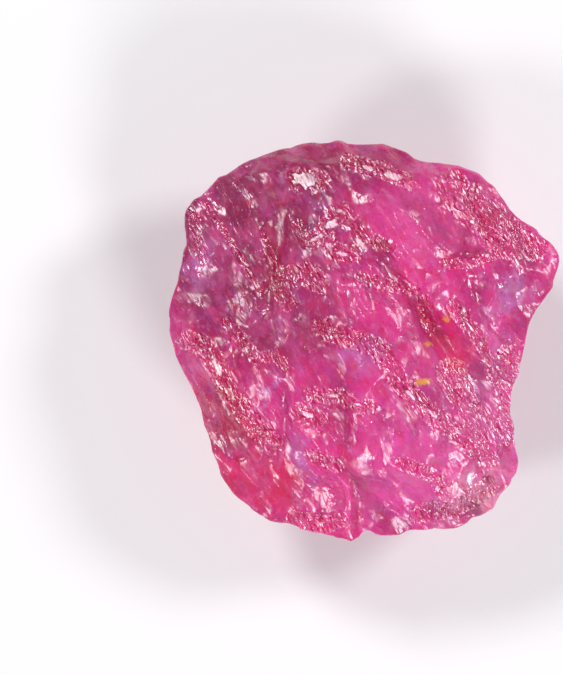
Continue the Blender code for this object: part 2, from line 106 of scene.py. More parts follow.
# Single bright faces, each turned to its nearest lamp: middle and half size in plan in millimetres, and
# turn in degrees.
BRIGHT_FACES = {
    "north_patch": ((-2.2, 5.95), (0.54, 0.32), -15.0),
    "lip_top": ((-0.9, 4.75), (0.28, 0.10), -15.0),
    "lip_face": ((-1.25, 4.30), (0.32, 0.17), 35.0),
    "lip_wing": ((-0.70, 4.15), (0.26, 0.10), -30.0),
    "lip_root": ((-1.75, 3.80), (0.32, 0.09), 30.0),
    "lip_foot": ((-1.35, 3.50), (0.24, 0.12), -40.0),
    "hook": ((-0.85, 3.20), (0.32, 0.09), -5.0),
    "west_face": ((-5.4, -1.0), (0.14, 0.46), 25.0),
    "west_foot": ((-4.9, -2.0), (0.08, 0.28), 25.0),
    "shoulder_face": ((1.0, 6.1), (0.40, 0.14), -15.0),
    "north_step": ((0.1, 6.40), (0.30, 0.10), -20.0),
    "rose_top": ((1.6, 5.65), (0.26, 0.09), -40.0),
    "crescent": ((3.85, 0.55), (0.30, 0.07), -50.0),
    "ledge": ((-1.2, -2.0), (0.32, 0.08), -5.0),
    "ledge_end": ((-0.2, -2.35), (0.24, 0.07), -25.0),
    "boss": ((-2.1, -2.7), (0.28, 0.12), -20.0),
    "streak_top": ((1.7, -2.0), (0.26, 0.08), -45.0),
    "streak_middle": ((2.5, -2.7), (0.32, 0.09), -40.0),
    "streak_foot": ((3.4, -3.3), (0.22, 0.07), -50.0),
    "star_face": ((3.3, -5.55), (0.46, 0.14), -25.0),
    "star_arm": ((3.35, -5.45), (0.12, 0.34), -15.0),
}

# Thin raised edges left where flakes broke away, as lines in plan in millimetres.
FLAKE_EDGES = {
    "cheek": [(-6.0, 5.2), (-5.3, 4.2), (-4.6, 3.1), (-3.9, 1.8)],
    "valley": [(-3.7, 4.0), (-3.4, 3.2), (-3.1, 2.5)],
    "rose_crease": [(-0.6, 4.6), (0.3, 3.5), (1.1, 2.7), (1.9, 2.1)],
    "wing": [(3.0, 2.7), (4.0, 2.9), (5.0, 3.4)],
    "crescent": [(3.2, 1.4), (3.6, 0.8), (4.2, 0.1), (4.5, -0.7)],
    "west": [(-5.9, -0.4), (-5.4, -1.1), (-4.9, -2.1), (-4.2, -2.9), (-3.4, -3.8)],
    "boss": [(1.2, -1.6), (1.9, -2.3), (2.7, -2.9), (3.5, -3.4)],
    "star": [(1.4, -4.6), (2.4, -5.0), (3.4, -5.8)],
}

# Soft zones of colour on the crown: colour, middle and half size in plan in millimetres, turn in degrees
# and strength. Several paint light and shade: the shaded and sunny sides, the shade zones, the shadow
# across the top edge, the lit cheek face, the lit rim and the glow windows.
COLOUR_ZONES = {
    "plum_window": ("plum", (-2.0, 4.7), (0.9, 1.2), 10.0, 0.85),
    "cheek_shadow": ("plum", (-4.7, 1.9), (0.6, 0.5), 0.0, 0.60),
    # painted shade: the upper left darker and redder
    "upper_left_shade": ("crimson_and_shade", (-4.0, 5.0), (2.0, 1.7), 20.0, 0.50),
    # painted shade darkening the middle left
    "middle_left_shade": ("deep", (-2.3, 0.3), (2.1, 1.5), 0.0, 0.60),
    "lower_flank": ("crimson_and_shade", (-5.2, -2.6), (1.6, 2.1), 20.0, 0.80),
    "shaded_side": ("deep", (-4.6, 3.8), (4.6, 5.2), -25.0, 0.90),
    "sunny_side": ("rose_and_light", (4.4, -3.0), (4.6, 4.2), 30.0, 0.75),
    "valley": ("garnet_and_shade", (-3.4, 2.7), (0.55, 2.3), -6.0, 0.80),
    # painted shadow darkening the top edge
    "top_edge_shadow": ("garnet_and_shade", (-1.2, 6.8), (3.9, 0.9), 0.0, 0.80),
    "rose_crease": ("garnet_and_shade", (0.2, 3.5), (2.1, 0.40), -50.0, 0.65),
    "main_crease": ("crimson_and_shade", (3.1, -0.1), (2.7, 0.70), -52.0, 0.90),
    "lower_left": ("crimson_and_shade", (-3.5, -5.3), (2.1, 1.5), -20.0, 0.80),
    "west_flank": ("garnet_and_shade", (-5.1, -2.9), (0.9, 1.8), 25.0, 0.60),
    "south_seam": ("crimson_and_shade", (-0.5, -5.4), (0.7, 2.1), 0.0, 0.70),
    # painted glow: light coming through the stone, in windows and along the bottom
    "hot_window": ("painted_glow_pink", (2.1, -3.0), (1.7, 1.2), 0.0, 0.95),
    "south_glow": ("painted_glow_pink", (1.6, -5.7), (4.4, 1.4), 5.0, 0.75),
    "south_window": ("painted_glow_pink", (0.5, -4.6), (1.2, 1.4), 0.0, 0.65),
    "upper_right": ("rose_and_light", (1.9, 4.4), (1.6, 1.7), 0.0, 0.70),
    "upper_shade": ("deep", (-1.8, 5.9), (2.6, 1.3), 0.0, 0.55),
    "east_veil": ("lavender", (4.9, -2.2), (1.3, 2.4), 10.0, 0.45),
    "wing_veil": ("lavender", (5.5, 1.7), (1.2, 0.8), 10.0, 0.75),
    "face_veil": ("lavender", (-0.1, -0.5), (1.1, 0.6), 15.0, 0.60),
    "south_veil": ("lavender", (-2.3, -4.3), (0.6, 1.1), 10.0, 0.60),
    "cheek_veil": ("lavender", (-6.0, 2.7), (0.7, 1.1), 0.0, 0.65),
    "boss_veil": ("lavender", (-3.5, -1.8), (0.22, 0.8), -25.0, 0.60),
    # painted light: the thin rim paler where light comes through it
    "lit_pale_rim": ("pale_pink_and_highlight", (4.1, -5.8), (1.9, 1.1), 25.0, 0.65),
    # painted light: the left cheek face lighter where it catches the light
    "lit_cheek_face": ("rose_and_light", (-5.4, 3.6), (0.8, 1.4), 30.0, 0.45),
}

# Clouds and veils all through the stone: colour, size across the streak in millimetres, how far they are
# drawn out along it, the noise values between which they fade in, and strength.
VEILS = {
    "clouds": ("deep", 1.7, 1.3, (0.44, 0.66), 0.60),
    "rose_clouds": ("rose_and_light", 1.1, 1.2, (0.50, 0.70), 0.60),
    "violet_clouds": ("plum", 0.9, 1.4, (0.50, 0.74), 0.50),
    "red_threads": ("crimson_and_shade", 0.30, 1.8, (0.52, 0.70), 0.55),
    "pale_wisps": ("lavender", 0.40, 1.6, (0.53, 0.75), 0.40),
    "milk": ("pale_pink_and_highlight", 0.13, 1.6, (0.55, 0.75), 0.30),
    "specks": ("garnet_and_shade", 0.10, 1.3, (0.56, 0.72), 0.45),
}

# Tints that follow the surface: colour, the attribute that carries the tint, its values where the tint
# starts and where it is full, and strength. Hollows get painted shade in darker red, steep flanks get
# painted shade in garnet, ridges get a painted highlight in pale pink, and crinkled bands are redder.
SURFACE_TINTS = (
    # painted shade: hollows darker and redder
    ("crimson_and_shade", "proud", -0.1, -1.2, 0.35),
    # painted highlight: ridges paler
    ("pale_pink_and_highlight", "proud", 0.5, 1.8, 0.15),
    # painted shade: steep flanks darker
    ("garnet_and_shade", "steep", 0.40, 0.85, 0.50),
    ("crimson_and_shade", "crinkled", 0.10, 0.90, 0.24),
)

# Tiny yellow spots of painted iridescent sheen in thin cracks: middle and half size in plan, in millimetres.
IRIDESCENT_SPOTS = {
    "largest": ((2.15, -1.5), (0.34, 0.13)),
    "upper": ((3.0, 0.8), (0.13, 0.10)),
    "middle": ((2.35, -0.1), (0.15, 0.09)),
}


class RubyShape(bpy.types.PropertyGroup):
    """Sizes of the broken surface."""

    grain: FloatProperty(
        name="Grain", description="Spacing of the points that the surface is carved with",
        default=0.042 * MM, min=0.02 * MM, max=0.5 * MM, precision=6, subtype="DISTANCE", unit="LENGTH",
    )
    face_limit: IntProperty(
        name="Faces", description="Triangles that are kept", default=196000, min=20000, max=199000,
    )
    base_faces: IntProperty(
        name="Base faces", description="Triangles kept on the underside in the first thinning",
        default=46000, min=5000, max=150000,
    )
    broad_facet: FloatProperty(
        name="Broad facets", description="Width of the broad flat faces",
        default=0.85 * MM, precision=6, subtype="DISTANCE", unit="LENGTH",
    )
    small_facet: FloatProperty(
        name="Small facets", description="Width of the small flat faces",
        default=0.32 * MM, precision=6, subtype="DISTANCE", unit="LENGTH",
    )
    glint_facet: FloatProperty(
        name="Glint facets", description="Width of the finest faces, in the crinkled bands",
        default=0.17 * MM, precision=6, subtype="DISTANCE", unit="LENGTH",
    )
    step_spacing: FloatProperty(
        name="Step spacing", description="Distance between the fine parting steps",
        default=0.30 * MM, precision=6, subtype="DISTANCE", unit="LENGTH",
    )
    step_height: FloatProperty(
        name="Step height", description="Height of the fine parting steps",
        default=0.018 * MM, precision=6, subtype="DISTANCE", unit="LENGTH",
    )
    seed: IntProperty(name="Seed", description="Seed of every random draw", default=7)


class RubyColour(bpy.types.PropertyGroup):
    """Colours of the stone, as sRGB hex, and how its substance bends and takes up light."""

    body: StringProperty(name="Body", description="The stone's main colour", default="EA3499")
    # Also painted shade on the shaded side, along the top and in the middle left.
    deep: StringProperty(name="Deep", description="Cloudless parts, where it is darkest", default="98145A")
    plum: StringProperty(name="Plum", description="Purple-grey shadows", default="982C88")
    # Also painted shade on the steep flanks and across the top edge.
    garnet_and_shade: StringProperty(name="Garnet", description="Brownish red along old cracks", default="AE2254")
    # Also painted shade in hollows and over the upper left.
    crimson_and_shade: StringProperty(name="Crimson", description="Clean red along the main creases", default="E2225F")
    # Painted glow of light coming through the stone.
    painted_glow_pink: StringProperty(
        name="Hot pink", description="Windows that light comes through", default="FF5CBE",
    )
    # Also painted light on the sunny side and on the lit cheek face.
    rose_and_light: StringProperty(name="Rose", description="Smooth pink faces", default="F262B4")
    lavender: StringProperty(name="Lavender", description="Milky veils", default="D684D2")
    # Also a painted highlight on the ridges and painted light through the thin rim.
    pale_pink_and_highlight: StringProperty(name="Pale pink", description="The thin, clear rim", default="FAC4DE")
    # Painted iridescent sheen of thin cracks, in yellow.
    iridescent_sheen: StringProperty(name="Rust", description="Stains in closed cracks", default="F4B048")
    clearness: FloatProperty(
        name="Clearness", description="Share of the light that goes through and isn't scattered",
        default=0.15, min=0.0, max=1.0, subtype="FACTOR",
    )
    ior: FloatProperty(name="IOR", description="Refractive index of corundum", default=1.77, min=1.0, max=3.0)
    depth: StringProperty(name="Depth", description="Light that has gone deep through it", default="FA59C4")
    absorption: FloatProperty(
        name="Absorption", description="How strongly the clear part takes up light, per metre",
        default=160.0, min=0.0,
    )


class RubyStudio(bpy.types.PropertyGroup):
    """The floor, the lights and the camera."""

    camera_height: FloatProperty(
        name="Camera height", description="Height of the camera over the stone's girdle",
        default=173.6 * MM, subtype="DISTANCE", unit="LENGTH",
    )
    lens: FloatProperty(
        name="Lens", description="Focal length", default=0.25, subtype="DISTANCE_CAMERA", unit="CAMERA",
    )
    floor: StringProperty(name="Floor", description="The floor's colour", default="F4F2F5")
    surround: FloatProperty(name="Surround", description="Brightness of the white surround", default=0.19)
    lamps: FloatProperty(name="Lamps", description="Brightness of all the lamps together", default=0.95)


def settings():
    return bpy.context.scene.raw_ruby


def linear(code):
    """A linear colour from an sRGB hex code."""
    shares = [int(code[at:at + 2], 16) / 255.0 for at in (0, 2, 4)]
    bent = [share / 12.92 if share <= 0.04045 else ((share + 0.055) / 1.055) ** 2.4 for share in shares]
    return (*bent, 1.0)


def new_object(name, data):
    made = bpy.data.objects.new(name, data)
    bpy.context.scene.collection.objects.link(made)
    return made


# The surface. Points and normals are arrays with one row for each vertex, in metres.

STREAK = np.array([-0.50, 0.86, 0.0])      # the way that the stone parts, steeply down to the right
STREAK_STRETCH = 0.45                      # fine relief is drawn out along it by the inverse of this
STEP_ACROSS = np.array([0.86, 0.50, 0.25])     # the way that the parting steps follow each other
STEP_WANDER = (0.9 * MM, 1.2)              # size of the wander in their lines, and its reach in steps
STEP_PATCH = 1.4 * MM                      # size of the patches that have steps
SMOOTHING_ROUNDS = 9                       # these take the voxels' own corners off
PATCH_SIZE = 1.1 * MM                      # of the crinkled patches outside the bands
STRAY_CRINKLE = 0.15                       # how crinkled those on the crown are, against the bands
LIT_CRINKLE = 0.7                          # the same for faces that would send a lamp up to the eye
FLANK_CRINKLE = 0.7                        # and for the patches on the flanks
BROAD_FACES = (0.05, 0.15)                 # spread of the broad faces' tilt, and how flat they are
SMALL_FACES = (0.09, 0.30)                 # the same for the small faces in the bands
COARSE_CRINKLE = (0.32, 0.005, 0.012)      # size, height everywhere and added height in the bands, in mm
FINE_CRINKLE = (0.24, 0.001, 0.003)        # the same for the finest relief
MAX_FACET_SHIFT = 0.07 * MM
MAX_FACE_SHIFT = 0.16 * MM
RAGGEDNESS = (0.20 * MM, 0.30)             # size and share of the waves in the bright faces' outlines
LAMP_CLOSENESS = (0.955, 0.985)            # cosines between which a face starts to send a lamp up
PLATE_CLOSENESS = 0.72                     # plates are set where this cosine is passed
PLATE_TILT = 0.06                          # spread of the plates' tilt
PLATE_REACH = (0.40, 0.90)                 # smallest and largest half width of a plate, against its size
PLATE_RAGGEDNESS = 0.45
FLAKE_EDGE = (0.05 * MM, 0.10 * MM)        # height and half width
EDGE_WANDER = (0.30 * MM, 0.07 * MM)       # size and reach of the wander in their lines
EDGE_BREAKS = 0.25 * MM                    # size of the breaks in them
PROUD_HEIGHT = 0.02 * MM                   # this far over its surroundings a point is fully on a ridge
PROUD_ROUNDS = 8                           # rounds of smoothing that leave those surroundings
SHARP_ANGLE = math.radians(18.0)           # edges sharper than this stay crisp
SOLE = 0.05 * MM                           # points lower than this lie on the parting face
FULL_RELIEF = 0.5 * MM                     # and from this height up the relief has its full height
COARSE_SEED, FINE_SEED, PATCH_SEED, EDGE_SEED, FLANK_SEED = 1, 2, 20, 30, 40


def smooth_step(start, end, value):
    share = np.clip((value - start) / (end - start), 0.0, 1.0)
    return share * share * (3.0 - 2.0 * share)


def lattice_value(corner, seed):
    """A repeatable random number from -1 to 1 for each whole-numbered corner."""
    mixed = corner.astype(np.int64) @ np.array([73856093, 19349663, 83492791]) + seed * 2654435761
    mixed = (mixed ^ (mixed >> 13)) * 1274126177 & 0xFFFFFFFF
    mixed = (mixed ^ (mixed >> 16)) * 2246822519 & 0xFFFFFFFF
    return mixed / 0x7FFFFFFF - 1.0


def soft_noise(points, size, seed):
    """Smooth random numbers from -1 to 1 that change over the given size."""
    scaled = points / size
    low = np.floor(scaled)
    fade = smooth_step(0.0, 1.0, scaled - low)
    total = np.zeros(len(points))
    for corner in np.ndindex(2, 2, 2):
        share = np.prod(np.where(corner, fade, 1.0 - fade), axis=1)
        total += share * lattice_value(low + corner, seed)
    return total


def distance_to_line(plan, line):
    """Distance in plan from each point to a line of straight stretches."""
    nearest = np.full(len(plan), np.inf)
    stops = np.array(line) * MM
    for start, end in zip(stops, stops[1:]):
        way = end - start
        along = np.clip((plan - start) @ way / (way @ way), 0.0, 1.0)
        nearest = np.minimum(nearest, np.linalg.norm(plan - start - along[:, None] * way, axis=1))
    return nearest


def band_share(points, normals):
    """How far each point is in one of the crinkled bands, which lie on the crown only."""
    share = np.zeros(len(points))
    for half_width, line in GLINT_BANDS.values():
        distance = distance_to_line(points[:, :2], line)
        share = np.maximum(share, smooth_step(1.35, 0.55, distance / (half_width * MM)))
    return share * smooth_step(0.05, 0.3, normals[:, 2])


def flank_share(points, normals, seed):
    """How crinkled the flanks and the underside are, in patches: no band reaches them."""
    patch = smooth_step(-0.1, 0.5, soft_noise(points, PATCH_SIZE, seed))
    return FLANK_CRINKLE * (patch * smooth_step(0.45, 0.10, normals[:, 2]))


def read_points(mesh):
    points = np.empty(len(mesh.vertices) * 3, np.float32)
    mesh.vertices.foreach_get("co", points)
    return points.reshape(-1, 3).astype(float)


def read_normals(mesh):
    normals = np.empty(len(mesh.vertices) * 3, np.float32)
    mesh.vertices.foreach_get("normal", normals)
    return normals.reshape(-1, 3).astype(float)


def write_points(mesh, points):
    mesh.vertices.foreach_set("co", points.astype(np.float32).ravel())
    mesh.update()


def nearest_of(points, chosen):
    """For each point, which of the chosen ones is nearest."""
    tree = KDTree(len(chosen))
    for index, point in enumerate(chosen):
        tree.insert(point, index)
    tree.balance()
    return np.array([tree.find(point)[1] for point in points])


def unit(rows):
    return rows / np.linalg.norm(rows, axis=-1, keepdims=True)


def along_streak(points):
    """Points squeezed along the streak, so that what is drawn from them comes out long."""
    way = unit(STREAK)
    return points - (1.0 - STREAK_STRETCH) * np.outer(points @ way, way)


def crinkle(points, size, seed):
    """Random heights from -1 to 1 in flat, folded faces about the given size across."""
    pushed = points + 0.45 * size * np.stack(
        [soft_noise(points, 1.7 * size, seed + 50 + axis) for axis in range(3)], axis=1,
    )
    scaled = pushed / size
    low = np.floor(scaled)
    shares = scaled - low
    order = np.argsort(-shares, axis=1)
    rows = np.arange(len(points))
    corner = low.copy()
    value = lattice_value(corner, seed)
    total = value.copy()
    for rank in range(3):
        corner[rows, order[:, rank]] += 1.0
        next_value = lattice_value(corner, seed)
        total += (next_value - value) * shares[rows, order[:, rank]]
        value = next_value
    return total


def crinkle_heights(points, amounts, hackly, seed):
    size, everywhere, added = amounts
    return crinkle(points, size * MM, seed) * (everywhere + added * hackly) * MM


def raise_relief(mesh, heights):
    """Moves every point out by its own height, less on steep sides and none at the parting face."""
    points = read_points(mesh)
    normals = read_normals(mesh)
    level = 0.35 + 0.65 * smooth_step(0.15, 0.60, np.abs(normals[:, 2]))
    foot = smooth_step(SOLE, FULL_RELIEF, points[:, 2])
    write_points(mesh, points + normals * (heights * level * foot)[:, None])


def flatten_to_facets(mesh, size, spread, strength, draw):
    """Moves each point towards a flat face. The faces have random middles, a size apart."""
    points = read_points(mesh)
    normals = read_normals(mesh)
    area = sum(polygon.area for polygon in mesh.polygons)
    chosen = draw.choice(len(points), int(area / size ** 2), replace=False)
    squeezed = along_streak(points)
    nearest = nearest_of(squeezed, squeezed[chosen])
    facing = unit(normals[chosen] + draw.normal(0.0, spread, (len(chosen), 3)))[nearest]
    upright = np.clip(np.einsum("ij,ij->i", facing, normals), 0.4, 1.0)
    shift = -np.einsum("ij,ij->i", facing, points - points[chosen][nearest]) / upright
    raise_relief(mesh, np.clip(shift, -MAX_FACET_SHIFT, MAX_FACET_SHIFT) * strength)


def lamp_mirrors():
    """For each lamp, the way that a face looks when it sends it straight up to the eye."""
    return np.array([unit(unit(np.array(way)) + np.array([0.0, 0.0, 1.0])) for way, _, _ in LAMPS.values()])


def away_from_oval(points, middle, half_size, turn):
    """Distance in plan from the middle of a ragged oval: 1 on its edge."""
    angle = math.radians(turn)
    offset = (points[:, :2] - np.array(middle) * MM) @ np.array(
        [[math.cos(angle), -math.sin(angle)], [math.sin(angle), math.cos(angle)]]
    )
    away = np.linalg.norm(offset / (np.array(half_size) * MM), axis=1)
    wave, amount = RAGGEDNESS
    near = away < 2.0
    away[near] *= 1.0 + amount * soft_noise(points[near], wave, 5)
    return away


def bright_share(points, normals):
    """How far each point is on one of the single bright faces, which stay plain."""
    share = np.zeros(len(points))
    for middle, half_size, turn in BRIGHT_FACES.values():
        away = away_from_oval(points, middle, half_size, turn)
        share = np.maximum(share, smooth_step(1.15, 0.75, away))
    return share * (normals[:, 2] > 0.0)


def lamp_share(normals):
    """How nearly the surface sends one of the lamps up to the eye, 0 to 1."""
    return smooth_step(*LAMP_CLOSENESS, (normals @ lamp_mirrors().T).max(axis=1))


def turn_face_to_lamp(mesh, middle, half_size, turn):
    """Flattens one named face, an oval in plan, so that it sends its nearest lamp up to the eye."""
    points = read_points(mesh)
    normals = read_normals(mesh)
    away = away_from_oval(points, middle, half_size, turn)
    crown = normals[:, 2] > 0.0
    inside = crown & (away < 0.6)
    core = points[inside].mean(axis=0)
    mirrors = lamp_mirrors()
    mirror = mirrors[(mirrors @ normals[inside].mean(axis=0)).argmax()]
    drop = np.clip((points - core) @ mirror, -MAX_FACE_SHIFT, MAX_FACE_SHIFT)
    share = smooth_step(1.25, 0.85, away) * crown
    write_points(mesh, points - np.outer(drop * share, mirror))


def set_glint_plates(mesh, size, share, draw):
    """Turns small flat plates in the crinkled bands so that each sends its nearest lamp up to the eye."""
    points = read_points(mesh)
    normals = read_normals(mesh)
    mirrors = lamp_mirrors()
    likeness = normals @ mirrors.T
    willing = np.flatnonzero((draw.random(len(points)) < share) & (likeness.max(axis=1) > PLATE_CLOSENESS))
    area = sum(polygon.area for polygon in mesh.polygons)
    count = int(area * len(willing) / len(points) / size ** 2)
    chosen = draw.choice(willing, count, replace=False)
    squeezed = along_streak(along_streak(points))
    nearest = nearest_of(squeezed, squeezed[chosen])
    away = np.linalg.norm(squeezed - squeezed[chosen][nearest], axis=1)
    away *= 1.0 + PLATE_RAGGEDNESS * soft_noise(points, size, 77)
    lamps = mirrors[likeness[chosen].argmax(axis=1)]
    facing = unit(lamps + draw.normal(0.0, PLATE_TILT, (len(chosen), 3)))[nearest]
    upright = np.clip(np.einsum("ij,ij->i", facing, normals), 0.5, 1.0)
    shift = -np.einsum("ij,ij->i", facing, points - points[chosen][nearest]) / upright
    shift = np.clip(shift, -MAX_FACET_SHIFT, MAX_FACET_SHIFT)
    reach = draw.uniform(*PLATE_REACH, len(chosen))[nearest]
    raise_relief(mesh, shift * smooth_step(1.25, 0.75, away / size / reach) * smooth_step(0.0, 0.4, share))


def raise_flake_edges(mesh, height, half_width, seed):
    """Raises the thin edges of the broken flakes, unevenly, so that they glint in dashes."""
    points = read_points(mesh)
    wave, reach = EDGE_WANDER
    wander = np.stack([soft_noise(points, wave, seed + axis) for axis in range(2)], axis=1)
    plan = points[:, :2] + reach * wander
    distance = np.min([distance_to_line(plan, line) for line in FLAKE_EDGES.values()], axis=0)
    whole = smooth_step(-0.6, 0.2, soft_noise(points, EDGE_BREAKS, seed + 2))
    crown = smooth_step(0.05, 0.3, read_normals(mesh)[:, 2])
    raise_relief(mesh, height * np.maximum(0.0, 1.0 - distance / half_width) * whole * crown)


def cut_parting_steps(mesh, spacing, height, seed):
    """Raises fine saw-toothed steps that run along the streak, in patches."""
    points = read_points(mesh)
    wave, reach = STEP_WANDER
    phase = points @ STEP_ACROSS / spacing + soft_noise(points, wave, seed) * reach
    tooth = phase - np.floor(phase)
    patch = smooth_step(0.0, 0.45, soft_noise(points, STEP_PATCH, seed + 1))
    raise_relief(mesh, height * (tooth - 0.5) * patch)


def apply_modifier(item, kind, **values):
    modifier = item.modifiers.new(kind.title(), kind)
    for name, value in values.items():
        setattr(modifier, name, value)
    shape = bpy.data.meshes.new_from_object(item.evaluated_get(bpy.context.evaluated_depsgraph_get()))
    item.modifiers.clear()
    item.data = shape


def settle_foot(mesh):
    """Keeps the parting face flat on the surface that the stone lies on."""
    points = read_points(mesh)
    points[:, 2] = np.where(points[:, 2] < SOLE, 0.0, points[:, 2])
    write_points(mesh, points)


def height_over_surroundings(mesh, rounds):
    """How far each point stands over the ground around it, which is what many rounds of smoothing leave."""
    points = read_points(mesh)
    ends = np.empty(len(mesh.edges) * 2, np.int32)
    mesh.edges.foreach_get("vertices", ends)
    first, second = ends.reshape(-1, 2).T
    count = np.bincount(ends, minlength=len(points))
    ground = points.copy()
    for _ in range(rounds):
        for axis in range(3):
            total = np.bincount(first, ground[second, axis], len(points))
            total += np.bincount(second, ground[first, axis], len(points))
            ground[:, axis] = 0.5 * ground[:, axis] + 0.5 * total / count
    return np.einsum("ij,ij->i", points - ground, read_normals(mesh))


def write_share(mesh, name, values):
    layer = mesh.attributes.new(name, "FLOAT", "POINT")
    layer.data.foreach_set("value", values.astype(np.float32))


def thin_faces(stone, base_faces, limit):
    """Brings the faces down to the limit: first the underside alone, then everything together."""
    apply_modifier(stone, "TRIANGULATE")
    count = len(stone.data.polygons)
    facing = np.empty(count * 3, np.float32)
    stone.data.polygons.foreach_get("normal", facing)
    kept = np.count_nonzero(facing[2::3] >= 0.0) + base_faces
    underside = stone.vertex_groups.new(name="underside")
    underside.add(np.flatnonzero(read_normals(stone.data)[:, 2] < 0.0).tolist(), 1.0, "REPLACE")
    apply_modifier(stone, "DECIMATE", ratio=kept / count, vertex_group="underside")
    stone.vertex_groups.clear()
    apply_modifier(stone, "DECIMATE", ratio=limit / len(stone.data.polygons))
    if len(stone.data.polygons) > limit + 10:
        raise RuntimeError("the stone's skin has too many faces")


def carve_stone(shape):
    """The stone's skin, made from the frame's solid."""
    stone = new_object("ruby_crystal_stone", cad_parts[NODE].data.copy())
    apply_modifier(stone, "REMESH", mode="VOXEL", voxel_size=shape.grain)
    apply_modifier(stone, "SMOOTH", iterations=SMOOTHING_ROUNDS, factor=0.5)
    mesh = stone.data
    draw = np.random.default_rng(shape.seed)
    points = read_points(mesh)
    normals = read_normals(mesh)
    rough = 1.0 - bright_share(points, normals)
    bands = band_share(points, normals) * rough
    patches = smooth_step(0.15, 0.75, soft_noise(points, PATCH_SIZE, shape.seed + PATCH_SEED))
    flank = flank_share(points, normals, shape.seed + FLANK_SEED)
    hackly = np.max([
        bands, LIT_CRINKLE * (lamp_share(normals) * rough), patches * STRAY_CRINKLE * rough, flank,
    ], axis=0)
    long = along_streak(points)
    longer = along_streak(long)

    spread, flatness = BROAD_FACES
    flatten_to_facets(mesh, shape.broad_facet, spread, flatness, draw)
    spread, flatness = SMALL_FACES
    flatten_to_facets(mesh, shape.small_facet, spread, flatness * hackly, draw)
    raise_relief(mesh, crinkle_heights(long, COARSE_CRINKLE, hackly, shape.seed + COARSE_SEED))
    cut_parting_steps(mesh, shape.step_spacing, shape.step_height, shape.seed)
    raise_flake_edges(mesh, *FLAKE_EDGE, shape.seed + EDGE_SEED)
    for middle, half_size, turn in BRIGHT_FACES.values():
        turn_face_to_lamp(mesh, middle, half_size, turn)
    set_glint_plates(mesh, shape.glint_facet, bands, draw)
    raise_relief(mesh, crinkle_heights(longer, FINE_CRINKLE, hackly, shape.seed + FINE_SEED))
    settle_foot(mesh)

    thin_faces(stone, shape.base_faces, shape.face_limit)
    mesh = stone.data
    settle_foot(mesh)
    points = read_points(mesh)
    normals = read_normals(mesh)
    bands = band_share(points, normals) * (1.0 - bright_share(points, normals))
    flank = flank_share(points, normals, shape.seed + FLANK_SEED)
    write_share(mesh, "crinkled", np.maximum(bands, flank))
    write_share(mesh, "steep", 1.0 - np.abs(normals[:, 2]))
    write_share(mesh, "proud", height_over_surroundings(mesh, PROUD_ROUNDS) / PROUD_HEIGHT)
    mesh.shade_smooth()
    mesh.set_sharp_from_angle(angle=SHARP_ANGLE)
    return stone


# The finish. Sizes are in millimetres.

ZONE_PUSH = (1.1, 2.4)                     # size and reach of the noise that breaks up the zones' edges
IRIDESCENT_PUSH = (0.12, 0.45)                   # the same for the painted sheen spots
IRIDESCENT_SPOT = (8.0, 0.9, 0.8)                     # the painted sheen spots' turn in degrees, strength and softness
FROST_SIZE = 0.7                           # of the satin patches on the plain faces
SATIN = (0.24, 0.36)                       # roughness of the plain faces
GLASSY = 0.22                              # roughness of the freshest breaks, in the crinkled bands
HACKLE_SIZE = (0.55, 0.16, 0.18)           # of the finest hackles: along the streak, across it and in depth
HACKLE_STRENGTH = (0.15, 0.80)             # on plain faces and in the bands
HACKLE_HEIGHT = 0.14
SCATTER_DEPTH = 0.35                       # how far light wanders under the surface
SCATTER_SHARES = (1.0, 0.35, 0.6)          # of that depth for red, green and blue


def add_node(tree, kind, inputs=None, **values):
    """Adds a node with its settings, and with each input as a value or as the socket that feeds it."""
    node = tree.nodes.new(kind)
    for name, value in values.items():
        setattr(node, name, value)
    for key, value in (inputs or {}).items():
        if isinstance(value, bpy.types.NodeSocket):
            tree.links.new(value, node.inputs[key])
        else:
            node.inputs[key].default_value = value
    return node


def pushed_place(tree, place, size, reach):
    """Places in plan, pushed about by noise, so that no edge laid out in them looks drawn."""
    push = add_node(
        tree, "ShaderNodeTexNoise", {"Vector": place, "Scale": 1.0 / size, "Detail": 5.0},
    )
    centred = add_node(
        tree, "ShaderNodeVectorMath", {0: push.outputs["Color"], 1: (0.5, 0.5, 0.5)}, operation="SUBTRACT",
    )
    scaled = add_node(
        tree, "ShaderNodeVectorMath", {0: centred.outputs[0], "Scale": reach}, operation="SCALE",
    )
    pushed = add_node(tree, "ShaderNodeVectorMath", {0: place, 1: scaled.outputs[0]})
    flat = add_node(
        tree, "ShaderNodeVectorMath", {0: pushed.outputs[0], 1: (1.0, 1.0, 0.0)}, operation="MULTIPLY",
    )
    return flat.outputs[0]


def zone_share(tree, place, middle, half_size, turn, strength, softness=1.0):
    """A soft-edged oval in plan: its strength in the middle, 0 outside."""
    local = add_node(
        tree, "ShaderNodeMapping",
        {
            "Vector": place,
            "Location": (middle[0] * MM, middle[1] * MM, 0.0),
            "Rotation": (0.0, 0.0, math.radians(turn)),
            "Scale": (half_size[0] * MM, half_size[1] * MM, 1.0),
        },
        vector_type="TEXTURE",
    )
    length = add_node(tree, "ShaderNodeVectorMath", {0: local.outputs[0]}, operation="LENGTH")
    return add_node(
        tree, "ShaderNodeMapRange",
        {"Value": length.outputs["Value"], "From Min": 1.25, "From Max": 1.25 - softness,
         "To Min": 0.0, "To Max": strength},
        interpolation_type="SMOOTHSTEP",
    ).outputs[0]


